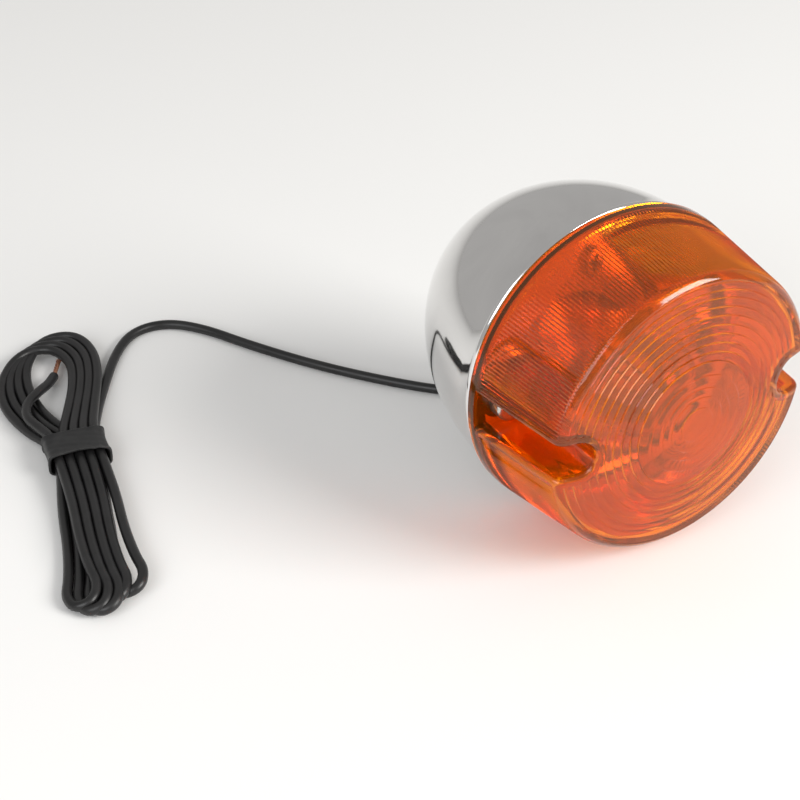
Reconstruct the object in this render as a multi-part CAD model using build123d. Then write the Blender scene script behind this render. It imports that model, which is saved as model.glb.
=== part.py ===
from build123d import *
import math
import os

os.makedirs("parts", exist_ok=True)

# A round motorcycle turn signal: a chromed bullet housing with an amber lens held by two screws, and a
# bayonet lamp on a sprung contact inside. One insulated lead leaves a rubber grommet under the housing and
# is tied up in a hank beside it. All sizes are in millimetres.
#
# The pieces are drawn in the lamp's own frame: z runs forward along the lens axis, x to the right, y up, and
# the origin is the centre of the lens's seat. The lamp is then stood up: the lens faces -Y, +Z is up, and
# the row's origin is on the surface under the middle of the lamp.

# ---- lens ----
lens_rim_radius = 37.0
lens_rim_band = 1.9
lens_side_height = 27.4
lens_side_taper = 2.9
lens_dome_rise = 4.4
lens_corner_radius = 3.0
lens_wall = 2.2
lens_seat_width = 3.6

# ---- screw channels in the lens, one on each side ----
screw_inset = 8.0
channel_half_width = 4.2
channel_wall = 1.8
channel_floor = 2.0
channel_lip = 1.2

# ---- lens screws, M4 with a captive spring washer ----
screw_radius = 2.0
screw_length = 16.0
screw_head_radius = 3.7
screw_head_height = 2.6
screw_recess_width = 0.9
screw_recess_span = 4.2
screw_recess_depth = 1.6
washer_radius = 3.7
washer_thickness = 0.9
washer_split = 0.8

# ---- housing ----
lens_overhang = 1.5
housing_depth = 50.9
housing_straight = 3.0
housing_nose_radius = 11.1
housing_wall = 1.8
rim_bead_radius = 0.8
screw_boss_radius = 5.0
screw_boss_depth = 15.0
screw_hole_depth = 13.5

# ---- mounting foot under the housing, tapped M8 ----
foot_setback = 20.0
foot_radius = 7.5
foot_height = 14.0
tapped_hole_radius = 3.4
tapped_hole_depth = 12.0
tapped_hole_chamfer = 0.8

# ---- gasket between lens and housing ----
gasket_thickness = 1.0
gasket_width = 2.1
gasket_margin = 0.2

# ---- reflector and its two screws ----
reflector_sheet = 0.6
reflector_bowl_margin = 0.6
reflector_bowl_bulge = (0.40, 0.62)
reflector_bowl_depth = 18.5
reflector_neck_length = 2.5
reflector_seat_depth = 2.6
ledge_width = 1.4
ledge_thickness = 1.6
pillar_inset = 7.0
pillar_radius = 3.2
pillar_height = 8.4
pillar_rib_width = 3.0
pillar_hole_depth = 7.0
small_screw_radius = 1.5
small_screw_length = 6.0
small_screw_head_radius = 2.7
small_screw_head_height = 1.7
small_screw_recess_span = 3.24

# ---- bayonet socket ----
bayonet_clearance = 0.15
socket_wall = 0.7
socket_front = -14.0
socket_length = 25.2
socket_lip = 0.8
socket_collar_width = 1.0
socket_collar_thickness = 1.0
slot_entry_turn = 25.0
slot_clearance = 0.2
push_travel = 2.0

# ---- sprung centre contact ----
contact_disc_thickness = 2.0
button_head_radius = 2.4
button_head_height = 0.7
button_shank_radius = 1.5
button_tail = 0.8
terminal_wall = 0.6
terminal_length = 6.5
terminal_end = 0.8
end_disc_thickness = 1.5
spring_inset = 2.5
spring_wire_radius = 0.45
spring_turns = 4

# ---- bulb, 15 mm bayonet base ----
base_radius = 7.55
base_wall = 0.4
base_length = 17.0
base_lip = 2.0
pin_radius = 1.0
pin_stand = 0.8
pin_height = -19.0
pin_to_tip = 8.5
base_insulator_height = 1.3
solder_radius = 2.0
solder_height = 0.6
glass_radius = 13.25
glass_wall = 0.8
glass_neck_margin = 0.25
glass_neck_depth = 13.0
bulb_length = 49.8
stem_radius = 2.4
stem_top = -5.0
stem_flare_thickness = 0.8
support_radius = 0.35
support_height = 11.0
filament_arch = 2.0

# ---- lead and grommet ----
wire_radius = 1.2
conductor_radius = 0.6
conductor_length = 8.0
conductor_place = (-85.5, 99.0)
conductor_angle = -35.0
grommet_setback = 34.0
grommet_neck_radius = 3.0
grommet_flange_radius = 4.2
grommet_flange = 1.1
grommet_snout = 2.0
grommet_snout_radius = 2.2
pad_radius = 5.0
pad_outside = 0.3
pad_inside = 2.6
lead_end_gap = 0.4
lead_room = 6.8
lead_inner_run = 9.0
lead_bend = ((12.5, 7.5), (8.0, 1.0))
bend_share = 0.45

# ---- hank of spare lead and the band round it ----
hank_base = 0.05
hank_height = 6.0
waist_centre = (-97.5, 63.0)
waist_angle = -14.0
waist_width = 13.6
waist_height = 5.2
band_width = 9.0
band_thickness = 0.8
shoulder_half_width = 1.5

# ---- clearances ----
turning_clearance = 0.05
sliding_clearance = 0.10
passing_clearance = 0.25

# ---- places worked out from the sizes ----
lens_face_radius = lens_rim_radius - lens_side_taper
housing_rim_radius = lens_rim_radius - lens_overhang
screw_offset = lens_rim_radius - screw_inset
pillar_offset = housing_rim_radius - pillar_inset
reflector_bowl_radius = screw_offset - screw_boss_radius - reflector_bowl_margin
socket_bore_radius = base_radius + bayonet_clearance
spring_radius = socket_bore_radius - spring_inset
pin_reach = base_radius + pin_stand
glass_neck_radius = base_radius - base_wall - glass_neck_margin
lens_length = lens_side_height + lens_dome_rise
lens_seat_radius = lens_rim_radius - lens_seat_width
axis_height = lens_rim_radius
overall_length = lens_length + housing_depth
seat_y = lens_length - overall_length / 2
lamp = Plane(origin=(0, seat_y, axis_height), x_dir=(1, 0, 0), z_dir=(0, -1, 0)).location

housing_rim = -gasket_thickness
side_start = housing_rim - housing_straight
side_length = housing_depth + side_start
side_radius = (
    housing_rim_radius**2 + side_length**2 - 2 * side_length * housing_nose_radius
) / (2 * (housing_rim_radius - housing_nose_radius))
side_centre = (housing_rim_radius - side_radius, side_start)
nose_centre = (0.0, housing_nose_radius - housing_depth)
nose_turn = math.atan2(side_start - nose_centre[1], -side_centre[0])

ledge_top = housing_rim - reflector_seat_depth
socket_radius = socket_bore_radius + socket_wall
socket_rear = socket_front - socket_length
neck_top = ledge_top - reflector_bowl_depth
neck_end = neck_top - reflector_neck_length
tip_height = pin_height - pin_to_tip
base_rear = tip_height + solder_height + base_insulator_height - base_wall
base_front = base_rear + base_length
glass_centre = tip_height + bulb_length - glass_radius
glass_rear = base_front - glass_neck_depth
button_top = tip_height
disc_front = button_top - button_head_height
disc_rear = disc_front - contact_disc_thickness
button_rear = disc_rear - button_tail
end_disc_front = socket_rear + socket_lip + end_disc_thickness
support_front = stem_top + support_height
lead_tip = button_rear - terminal_end - push_travel - lead_end_gap
lead_turn_height = socket_rear - lead_room


def placed(piece):
    """The piece, moved from the lamp's frame to the row's frame."""
    return lamp * piece


def turned(*outline):
    """A solid turned about the lens axis from its outline of (radius, height) points."""
    return revolve(Plane.XZ * make_face(Polyline(*outline, close=True)), Axis.Z)


def turned_edges(*edges):
    """A solid turned about the lens axis from the edges of its outline."""
    return revolve(Plane.XZ * make_face(Curve() + list(edges)), Axis.Z)


def ring(inner_radius, outer_radius, low, high):
    """A plain ring about the lens axis."""
    return turned((inner_radius, low), (outer_radius, low), (outer_radius, high), (inner_radius, high))


def rod(radius, low, high, x=0.0, y=0.0):
    """A round rod parallel to the lens axis."""
    return Pos(x, y, (low + high) / 2) * Cylinder(radius, high - low)


def dome(edge_radius, edge_height, rise):
    """The arc from the edge of a dome to its pole."""
    radius = (edge_radius**2 + rise**2) / (2 * rise)
    half = math.asin(edge_radius / radius) / 2
    middle = (radius * math.sin(half), edge_height + rise - radius * (1 - math.cos(half)))
    return ThreePointArc((edge_radius, edge_height), middle, (0, edge_height + rise))


def on_side(angle, inset):
    """A point of the housing's long arc, by its angle below the rim."""
    radius = side_radius - inset
    return (side_centre[0] + radius * math.cos(angle), side_centre[1] - radius * math.sin(angle))


def on_nose(angle, inset):
    """A point of the housing's nose arc, by its angle below the rim."""
    radius = housing_nose_radius - inset
    return (radius * math.cos(angle), nose_centre[1] - radius * math.sin(angle))


def bullet(inset):
    """The solid bounded by the housing's outer shape, drawn in by a distance."""
    rim = (housing_rim_radius - inset, housing_rim)
    start = (housing_rim_radius - inset, side_start)
    joint = on_side(nose_turn, inset)
    pole = (0, inset - housing_depth)
    return turned_edges(
        Line((0, housing_rim), rim),
        Line(rim, start),
        ThreePointArc(start, on_side(nose_turn / 2, inset), joint),
        ThreePointArc(joint, on_nose((nose_turn + math.pi / 2) / 2, inset), pole),
        Line(pole, (0, housing_rim)),
    )


def channel(half_width, low, high):
    """A round-ended channel that opens through the lens's right side."""
    length = lens_rim_radius
    outline = Pos(screw_offset, 0) * Circle(half_width)
    outline += Pos(screw_offset + length / 2, 0) * Rectangle(length, 2 * half_width)
    return Pos(0, 0, low) * extrude(outline, high - low)


def both_sides(piece):
    """A piece and its mirror image on the lamp's other side."""
    return piece + mirror(piece, Plane.YZ)


def above_and_below(piece):
    """A piece and its mirror image below the axis."""
    return piece + mirror(piece, Plane.XZ)


# ---- lens: a cap with a domed face, and two channels that let the screws sit near its rim ----
def make_lens():
    face_edge = (lens_face_radius, lens_side_height)
    outline = make_face(
        Curve()
        + [
            Polyline((0, 0), (lens_rim_radius, 0), (lens_rim_radius, lens_rim_band), face_edge),
            dome(lens_face_radius, lens_side_height, lens_dome_rise),
            Line((0, lens_length), (0, 0)),
        ]
    )
    corner = outline.vertices().sort_by_distance(Vector(*face_edge, 0))[0]
    outer = revolve(Plane.XZ * fillet(corner, lens_corner_radius), Axis.Z)
    inner_radius = lens_face_radius - lens_wall
    inner_height = lens_side_height - lens_wall
    cavity = turned_edges(
        Polyline((0, 0), (lens_seat_radius, 0), (inner_radius, inner_height)),
        dome(inner_radius, inner_height, lens_dome_rise),
        Line((0, inner_height + lens_dome_rise), (0, 0)),
    )
    block = channel(channel_half_width + channel_wall, 0, lens_length)
    cut = channel(channel_half_width, channel_floor, lens_length)
    lens = outer - cavity + both_sides(block & outer) - both_sides(cut)
    lens = lens - both_sides(rod(screw_radius + passing_clearance, 0, channel_floor, screw_offset))
    lips = [
        edge
        for edge in lens.edges()
        if abs(abs(edge.center().Y) - channel_half_width) < channel_half_width
        and edge.center().Z > channel_floor + channel_lip
        and on_outside(edge)
    ]
    return fillet(lips, channel_lip)


def outside_radius(height):
    """The lens's outer radius at a height on its tapered side."""
    share = (height - lens_rim_band) / (lens_side_height - lens_rim_band)
    return lens_rim_radius + (lens_face_radius - lens_rim_radius) * min(max(share, 0), 1)


def on_outside(edge):
    """Whether an edge of a channel lies on the lens's outer surface, away from its floor."""
    point = edge @ 0.5
    radius = math.hypot(point.X, point.Y)
    top = lens_length - (lens_length - lens_side_height) * (radius / lens_face_radius) ** 2
    on_side_wall = abs(radius - outside_radius(point.Z)) < lens_corner_radius / 2
    on_face = abs(point.Z - top) < lens_corner_radius / 2
    in_channel = abs(abs(point.X) - screw_offset) < lens_rim_radius - screw_offset + channel_half_width
    return in_channel and abs(point.Y) < channel_half_width + 0.01 and (on_side_wall or on_face)


# ---- gasket: a flat ring with an ear at each screw ----
def make_gasket():
    outer_radius = housing_rim_radius - gasket_margin
    flat = ring(outer_radius - gasket_width, outer_radius, housing_rim, 0)
    ear = rod(screw_boss_radius, housing_rim, 0, screw_offset) & rod(outer_radius, housing_rim, 0)
    hole = rod(screw_radius + passing_clearance, housing_rim, 0, screw_offset)
    return flat + both_sides(ear) - both_sides(hole)


# ---- lens screw and its spring washer, drawn on the axis ----
def make_screw(radius, length, head_radius, head_height, recess_span, seat):
    shank = rod(radius, seat - length, seat)
    head = rod(head_radius, seat, seat + head_height)
    head = fillet(head.edges().sort_by(Axis.Z)[-1], head_height / 3)
    bar_low = seat + head_height - screw_recess_depth
    bar = Pos(0, 0, bar_low + screw_recess_depth / 2)
    bar = bar * Box(recess_span, screw_recess_width, screw_recess_depth)
    return shank + head - bar - Rot(0, 0, 90) * bar


def make_washer():
    inner_radius = screw_radius + sliding_clearance
    washer = ring(inner_radius, washer_radius, channel_floor, channel_floor + washer_thickness)
    split = Pos(washer_radius, 0, channel_floor + washer_thickness / 2)
    return washer - split * Box(2 * washer_radius, washer_split, washer_thickness)


# ---- housing: a thin bullet with bosses, pillars, a ledge, the mounting foot and the grommet's pad ----
def grommet_point():
    """Where the grommet's axis meets the housing's outer surface, and that axis, pointing out."""
    angle = math.asin((grommet_setback + side_start) / side_radius)
    radius, height = on_side(angle, 0)
    return Vector(0, -radius, height), Vector(0, -math.cos(angle), -math.sin(angle))


grommet_origin, grommet_axis = grommet_point()
grommet_place = Plane(origin=grommet_origin, x_dir=(1, 0, 0), z_dir=grommet_axis).location


def make_housing():
    shell = bullet(0) - bullet(housing_wall)
    bead_radius = housing_rim_radius
    bead = Pos(0, 0, housing_rim - rim_bead_radius) * Torus(bead_radius, rim_bead_radius)
    ledge = ring(
        housing_rim_radius - housing_wall - ledge_width,
        housing_rim_radius - housing_wall / 2,
        ledge_top - ledge_thickness,
        ledge_top,
    )
    boss = rod(screw_boss_radius, housing_rim - screw_boss_depth, housing_rim, screw_offset)
    pillar = rod(pillar_radius, ledge_top - pillar_height, ledge_top, 0, pillar_offset)
    rib_reach = housing_rim_radius - pillar_offset
    rib = Pos(0, pillar_offset + rib_reach / 2, ledge_top - pillar_height / 2)
    pillar += rib * Box(pillar_rib_width, rib_reach, pillar_height)
    inside = bullet(housing_wall / 2)
    fixings = (both_sides(boss) + above_and_below(pillar)) & inside
    foot = Pos(0, foot_height / 2 - axis_height, -foot_setback) * Rot(90, 0, 0)
    foot_column = foot * Cylinder(foot_radius, foot_height)
    pad = grommet_place * Pos(0, 0, (pad_outside - pad_inside) / 2)
    pad_column = pad * Cylinder(pad_radius, pad_outside + pad_inside)
    hollow = bullet(housing_wall)
    bead = bead - hollow
    housing = shell + bead + ledge + fixings + foot_column + pad_column

    hole_radius = screw_radius + turning_clearance
    screw_hole = rod(hole_radius, housing_rim - screw_hole_depth, housing_rim, screw_offset)
    small_hole = rod(
        small_screw_radius + turning_clearance, ledge_top - pillar_hole_depth, ledge_top, 0, pillar_offset
    )
    tapped = Pos(0, tapped_hole_depth / 2 - axis_height, -foot_setback) * Rot(90, 0, 0)
    mouth = Pos(0, tapped_hole_chamfer / 2 - axis_height, -foot_setback) * Rot(-90, 0, 0)
    mouth_cone = Cone(tapped_hole_radius + tapped_hole_chamfer, tapped_hole_radius, tapped_hole_chamfer)
    grommet_hole = pad * Cylinder(grommet_neck_radius, pad_outside + pad_inside)
    housing = housing - both_sides(screw_hole) - above_and_below(small_hole)
    housing = housing - tapped * Cylinder(tapped_hole_radius, tapped_hole_depth)
    return housing - mouth * mouth_cone - grommet_hole


# ---- reflector: a spun bowl with a wide flange that sits on the housing's ledge ----
def make_reflector():
    top = ledge_top + reflector_sheet
    inner_neck = socket_radius + turning_clearance
    bowl_bottom = inner_neck + 2 * reflector_sheet
    flange_radius = housing_rim_radius - housing_wall - passing_clearance

    def bowl(inset):
        start = (reflector_bowl_radius - inset, ledge_top)
        end = (bowl_bottom - inset, neck_top + reflector_sheet)
        middle = (
            start[0] + (end[0] - start[0]) * reflector_bowl_bulge[0],
            start[1] + (end[1] - start[1]) * reflector_bowl_bulge[1],
        )
        return start, middle, end

    outer_start, outer_middle, outer_end = bowl(0)
    inner_start, inner_middle, inner_end = bowl(reflector_sheet)
    sheet = turned_edges(
        Polyline((inner_start[0], top), (flange_radius, top), (flange_radius, ledge_top), outer_start),
        ThreePointArc(outer_start, outer_middle, outer_end),
        Polyline(
            outer_end,
            (outer_end[0], neck_top),
            (inner_neck + reflector_sheet, neck_top),
            (inner_neck + reflector_sheet, neck_end),
            (inner_neck, neck_end),
            (inner_neck, neck_top + reflector_sheet),
            inner_end,
        ),
        ThreePointArc(inner_end, inner_middle, inner_start),
        Line(inner_start, (inner_start[0], top)),
    )
    notch = rod(screw_boss_radius + passing_clearance, neck_end, top, screw_offset)
    hole = rod(small_screw_radius + passing_clearance, ledge_top, top, 0, pillar_offset)
    return sheet - both_sides(notch) - above_and_below(hole)


def make_reflector_screws():
    screw = make_screw(
        small_screw_radius,
        small_screw_length,
        small_screw_head_radius,
        small_screw_head_height,
        small_screw_recess_span,
        ledge_top + reflector_sheet,
    )
    return above_and_below(Pos(0, pillar_offset, 0) * screw)


# ---- socket: a shell with two J-shaped slots for the bulb's pins ----
def make_socket_shell():
    half_slot = pin_radius + slot_clearance
    shell = ring(socket_bore_radius, socket_radius, socket_rear, socket_front)
    shell += ring(socket_radius - socket_wall / 2, socket_radius + socket_collar_width,
                  neck_end - socket_collar_thickness, neck_end)
    shell += ring(socket_bore_radius - socket_lip, socket_radius, socket_rear, socket_rear + socket_lip)
    pushed = pin_height - push_travel
    deep = pushed - half_slot
    reach = Pos(socket_bore_radius, 0, 0)
    entry = Rot(0, 0, -slot_entry_turn) * reach * Pos(0, 0, (deep + socket_front) / 2)
    entry_cut = entry * Box(4 * socket_wall, 2 * half_slot, socket_front - deep)
    seat_top = pin_height + half_slot
    seat_cut = reach * Pos(0, 0, (deep + seat_top) / 2) * Box(4 * socket_wall, 2 * half_slot, seat_top - deep)
    low, high = deep, pushed + half_slot
    inner, outer = socket_bore_radius - socket_wall, socket_radius + socket_wall
    section = make_face(Polyline((inner, low), (outer, low), (outer, high), (inner, high), close=True))
    sweep_cut = revolve(Plane.XZ * section, Axis.Z, revolution_arc=slot_entry_turn)
    sweep_cut = Rot(0, 0, -slot_entry_turn) * sweep_cut
    slot = entry_cut + seat_cut + sweep_cut
    return shell - slot - Rot(0, 0, 180) * slot


def make_end_disc():
    hole_radius = wire_radius + sliding_clearance + terminal_wall + passing_clearance
    return ring(hole_radius, socket_bore_radius - turning_clearance,
                end_disc_front - end_disc_thickness, end_disc_front)


# ---- sprung contact: an insulating disc, a rivet through it and the barrel that takes the lead ----
def make_contact_disc():
    return ring(button_shank_radius + turning_clearance, socket_bore_radius - sliding_clearance,
                disc_rear, disc_front)


def make_contact_button():
    head = rod(button_head_radius, disc_front, button_top)
    return head + rod(button_shank_radius, button_rear, disc_front)


def make_contact_terminal():
    bore = wire_radius + turning_clearance
    barrel = rod(bore + terminal_wall, button_rear - terminal_length, button_rear)
    return barrel - rod(bore, button_rear - terminal_length, button_rear - terminal_end)


def make_contact_spring():
    low = end_disc_front + spring_wire_radius
    high = disc_rear - spring_wire_radius
    path = Helix((high - low) / spring_turns, high - low, spring_radius)
    section = Plane(origin=path @ 0, z_dir=path % 0) * Circle(spring_wire_radius)
    return Pos(0, 0, low) * sweep(section, path=path, is_frenet=True)


# ---- bulb ----
def make_bulb_base():
    inner = base_radius - base_wall
    return turned(
        (inner, base_front),
        (base_radius, base_front),
        (base_radius, base_rear),
        (base_radius - base_lip, base_rear),
        (base_radius - base_lip, base_rear + base_wall),
        (inner, base_rear + base_wall),
    )


def make_bulb_pins():
    inner = base_radius - base_wall
    length = pin_reach - inner
    pin = Pos(inner + length / 2, 0, pin_height) * Rot(0, 90, 0) * Cylinder(pin_radius, length)
    pin = pin - rod(base_radius, pin_height - 2 * pin_radius, pin_height + 2 * pin_radius)
    return pin + Rot(0, 0, 180) * pin


def make_base_insulator():
    step = base_radius - base_lip - turning_clearance
    inner = base_radius - base_wall - turning_clearance
    rear = tip_height + solder_height
    shoulder = base_rear + base_wall
    front = glass_rear
    return turned((0, rear), (step, rear), (step, shoulder), (inner, shoulder), (inner, front), (0, front))


def make_solder_contact():
    return rod(solder_radius, tip_height, tip_height + solder_height)


def glass_profile(inset):
    """The outline of the glass from its neck to its tip, drawn in by a distance, as a list of edges."""
    neck = glass_neck_radius - inset
    globe = glass_radius - inset
    flare = (neck, base_front)
    reach = math.hypot(neck, base_front - glass_centre)
    angle = math.atan2(base_front - glass_centre, neck) + math.acos(globe / reach)
    touch = (globe * math.cos(angle), glass_centre + globe * math.sin(angle))
    middle_angle = (angle + math.pi / 2) / 2
    middle = (globe * math.cos(middle_angle), glass_centre + globe * math.sin(middle_angle))
    tip = (0, glass_centre + globe)
    edges = [Polyline((neck, glass_rear), flare, touch), ThreePointArc(touch, middle, tip)]
    return edges, (neck, glass_rear), tip


def make_bulb_glass():
    solids = []
    for inset in (0, glass_wall):
        edges, rear, tip = glass_profile(inset)
        solids.append(turned_edges(*edges, Line(tip, (0, glass_rear)), Line((0, glass_rear), rear)))
    return solids[0] - solids[1]


def make_glass_stem():
    flare_radius = glass_neck_radius - glass_wall - turning_clearance
    flare_front = glass_rear + stem_flare_thickness
    shoulder = flare_front + flare_radius - stem_radius
    return turned((0, glass_rear), (flare_radius, glass_rear), (flare_radius, flare_front),
                  (stem_radius, shoulder), (stem_radius, stem_top), (0, stem_top))


def make_filament_supports():
    return both_sides(rod(support_radius, stem_top, support_front, filament_arch))


def make_filament():
    top = (0, support_front + filament_arch)
    path = Plane.XZ * ThreePointArc((filament_arch, support_front), top, (-filament_arch, support_front))
    section = Plane(origin=(filament_arch, 0, support_front), z_dir=(0, 0, 1)) * Circle(support_radius)
    return sweep(section, path=path)


# ---- grommet, and the lead inside the housing ----
def make_grommet():
    bore = wire_radius + turning_clearance
    neck = grommet_neck_radius - turning_clearance
    outside = pad_outside + grommet_flange
    grommet = turned(
        (bore, -pad_inside - grommet_flange),
        (grommet_flange_radius, -pad_inside - grommet_flange),
        (grommet_flange_radius, -pad_inside),
        (neck, -pad_inside),
        (neck, pad_outside),
        (grommet_flange_radius, pad_outside),
        (grommet_flange_radius, outside),
        (grommet_snout_radius + grommet_flange / 2, outside),
        (grommet_snout_radius, outside + grommet_snout),
        (bore, outside + grommet_snout),
    )
    return grommet_place * grommet


def rounded_path(points):
    """Straight runs joined by tangent arcs, each as large as its two runs allow, and the arcs' radii."""
    radii = []
    for before, here, after in zip(points, points[1:], points[2:]):
        turn = (here - before).get_angle(after - here)
        shorter = min((here - before).length, (after - here).length)
        radii.append(bend_share * shorter / math.tan(math.radians(turn) / 2))
    return FilletPolyline(*points, radius=radii), radii


def wire_along(points, name):
    """The insulated wire along a route, with its radii, length and volume printed."""
    path, radii = rounded_path(points)
    section = Plane(origin=path @ 0, z_dir=path % 0) * Circle(wire_radius)
    wire = sweep(section, path=path)
    expected = math.pi * wire_radius**2 * path.length
    print(name, "radii", [round(radius, 1) for radius in radii])
    print(name, "length", round(path.length, 1))
    print(name, "volume", round(wire.volume, 1), "expected", round(expected, 1))
    return wire


lead_exit_distance = pad_outside + grommet_flange + grommet_snout


def make_inner_lead():
    outside = grommet_origin + grommet_axis * lead_exit_distance
    inside = grommet_origin - grommet_axis * lead_inner_run
    bend = [Vector(0, -below, lead_turn_height + ahead) for below, ahead in lead_bend]
    points = [outside, inside, *bend, Vector(0, 0, lead_turn_height), Vector(0, 0, lead_tip)]
    return wire_along(points, "inner lead")


# ---- the free lead, in the row's frame: out of the grommet, down to the surface and round to the hank ----
lead_rest = wire_radius + hank_base
lead_route = [
    (-9.5, 38.8),
    (-20.0, 51.0),
    (-30.5, 65.5),
    (-40.0, 82.0),
    (-46.5, 95.5),
    (-53.5, 103.0),
    (-62.5, 103.8),
    (-70.5, 97.5),
    (-79.5, 85.7),
]


def make_lead():
    start = (lamp * Pos(grommet_origin + grommet_axis * lead_exit_distance)).position
    heading = (lamp * Pos(grommet_origin + grommet_axis * (lead_exit_distance + 1))).position - start
    landing = start + heading * ((start.Z - lead_rest) / -heading.Z)
    points = [start, landing] + [Vector(x, y, lead_rest) for x, y in lead_route]
    return wire_along(points, "lead")


# ---- the hank: the outer shape of the tied loops, with a waist where the band holds them ----
upper_loops = [(-104.5, 76), (-103.5, 90), (-100, 99.5), (-91, 108), (-82, 110), (-76.5, 106.5), (-75.5, 101)]
inner_loop_corner = (-84.5, 76.5)
lower_loops = [
    (-95.5, 48),
    (-98, 37),
    (-101.5, 25),
    (-105.5, 15.5),
    (-109, 12),
    (-116, 10.5),
    (-120.5, 12),
    (-119.5, 21),
    (-113.5, 35),
    (-107.5, 48),
]
waist = Pos(*waist_centre, band_thickness + waist_height / 2) * Rot(0, 0, waist_angle)


def lead_shoulder():
    """The two corners of the hank's face that the lead's end meets square on."""
    end = Vector(*lead_route[-1])
    across = (end - Vector(*lead_route[-2])).normalized().rotate(Axis.Z, 90) * shoulder_half_width
    return [tuple(end - across)[:2], tuple(end + across)[:2]]


def waist_corner(across, along):
    """A corner of the waist's end in plan."""
    point = (waist * Pos(across * waist_width / 2, along * band_width / 2, 0)).position
    return (point.X, point.Y)


def make_hank():
    upper = [waist_corner(-1, 1), *upper_loops, *lead_shoulder(), inner_loop_corner, waist_corner(1, 1)]
    lower = [waist_corner(1, -1), *lower_loops, waist_corner(-1, -1)]
    hank = waist * Box(waist_width, band_width, waist_height)
    for outline in (upper, lower):
        lobe = extrude(make_face(Polyline(*outline, close=True)), hank_height - hank_base)
        hank += Pos(0, 0, hank_base) * lobe
    return hank


def make_tie_band():
    outer = Box(waist_width + 2 * band_thickness, band_width, waist_height + 2 * band_thickness)
    outer = fillet(outer.edges().filter_by(Axis.Y), band_thickness)
    return waist * (outer - Box(waist_width, band_width, waist_height))


def make_bare_conductor():
    place = Pos(*conductor_place, hank_height / 2) * Rot(0, 0, conductor_angle)
    return place * Rot(90, 0, 0) * Cylinder(conductor_radius, conductor_length)


lens_screw_seat = channel_floor + washer_thickness
lens_screw = make_screw(
    screw_radius, screw_length, screw_head_radius, screw_head_height, screw_recess_span, lens_screw_seat
)
washer = make_washer()

pieces = {
    "lens": placed(make_lens()),
    "lens_gasket": placed(make_gasket()),
    "housing": placed(make_housing()),
    "reflector": placed(make_reflector()),
    "reflector_screws": placed(make_reflector_screws()),
    "socket_shell": placed(make_socket_shell()),
    "socket_end_disc": placed(make_end_disc()),
    "contact_disc": placed(make_contact_disc()),
    "contact_button": placed(make_contact_button()),
    "contact_terminal": placed(make_contact_terminal()),
    "contact_spring": placed(make_contact_spring()),
    "bulb_base": placed(make_bulb_base()),
    "bulb_pins": placed(make_bulb_pins()),
    "base_insulator": placed(make_base_insulator()),
    "solder_contact": placed(make_solder_contact()),
    "bulb_glass": placed(make_bulb_glass()),
    "glass_stem": placed(make_glass_stem()),
    "filament_supports": placed(make_filament_supports()),
    "filament": placed(make_filament()),
    "wire_grommet": placed(make_grommet()),
    "inner_lead": placed(make_inner_lead()),
    "lead_wire": make_lead(),
    "wire_hank": make_hank(),
    "tie_band": make_tie_band(),
    "bare_conductor": make_bare_conductor(),
}
for side, direction in (("left", -1), ("right", 1)):
    pieces[side + "_screw"] = placed(Pos(direction * screw_offset, 0, 0) * lens_screw)
    pieces[side + "_washer"] = placed(Pos(direction * screw_offset, 0, 0) * washer)

for name, piece in pieces.items():
    export_step(piece, "parts/" + name + ".step")
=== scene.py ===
import math

import bmesh
import bpy
from bpy.props import FloatProperty, FloatVectorProperty, IntProperty, PointerProperty
from mathutils import Matrix, Vector


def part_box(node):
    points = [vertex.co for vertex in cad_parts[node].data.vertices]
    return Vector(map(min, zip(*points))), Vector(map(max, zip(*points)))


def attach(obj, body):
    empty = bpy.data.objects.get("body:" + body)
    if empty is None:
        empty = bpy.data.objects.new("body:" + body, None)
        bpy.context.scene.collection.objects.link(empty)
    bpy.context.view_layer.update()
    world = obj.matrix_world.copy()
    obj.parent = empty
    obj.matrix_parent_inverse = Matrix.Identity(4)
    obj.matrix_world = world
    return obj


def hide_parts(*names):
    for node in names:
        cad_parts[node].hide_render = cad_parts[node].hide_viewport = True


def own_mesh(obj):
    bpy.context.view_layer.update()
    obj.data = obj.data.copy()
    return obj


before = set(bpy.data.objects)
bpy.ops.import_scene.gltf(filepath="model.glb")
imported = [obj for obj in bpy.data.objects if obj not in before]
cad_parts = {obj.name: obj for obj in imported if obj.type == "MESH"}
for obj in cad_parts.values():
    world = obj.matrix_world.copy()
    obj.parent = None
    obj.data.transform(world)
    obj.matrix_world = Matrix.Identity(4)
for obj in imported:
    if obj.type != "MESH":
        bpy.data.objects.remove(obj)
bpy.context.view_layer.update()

bl_info = {
    "name": "Bullet turn signal",
    "version": (1, 0, 0),
    "blender": (4, 5, 0),
    "location": "3D View > Sidebar > Turn signal",
    "description": "Builds the fluted amber lens, the chromed housing, the bulb and the lead of a turn signal",
    "category": "Object",
}

MM = 0.001

# ---- the lamp's own axes, read from the frame's pieces: z forward along the lens axis, y up, lens seat at 0 ----
lens_low, lens_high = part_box("lens")
housing_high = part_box("housing")[1]
RIM_RADIUS = 37.0 * MM
AXIS_HEIGHT = (lens_low.z + lens_high.z) / 2
SEAT_Y = lens_high.y
LENS_LENGTH = lens_high.y - lens_low.y
LAMP = Matrix(((1, 0, 0, 0), (0, 0, -1, SEAT_Y), (0, 1, 0, AXIS_HEIGHT), (0, 0, 0, 1)))

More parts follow.
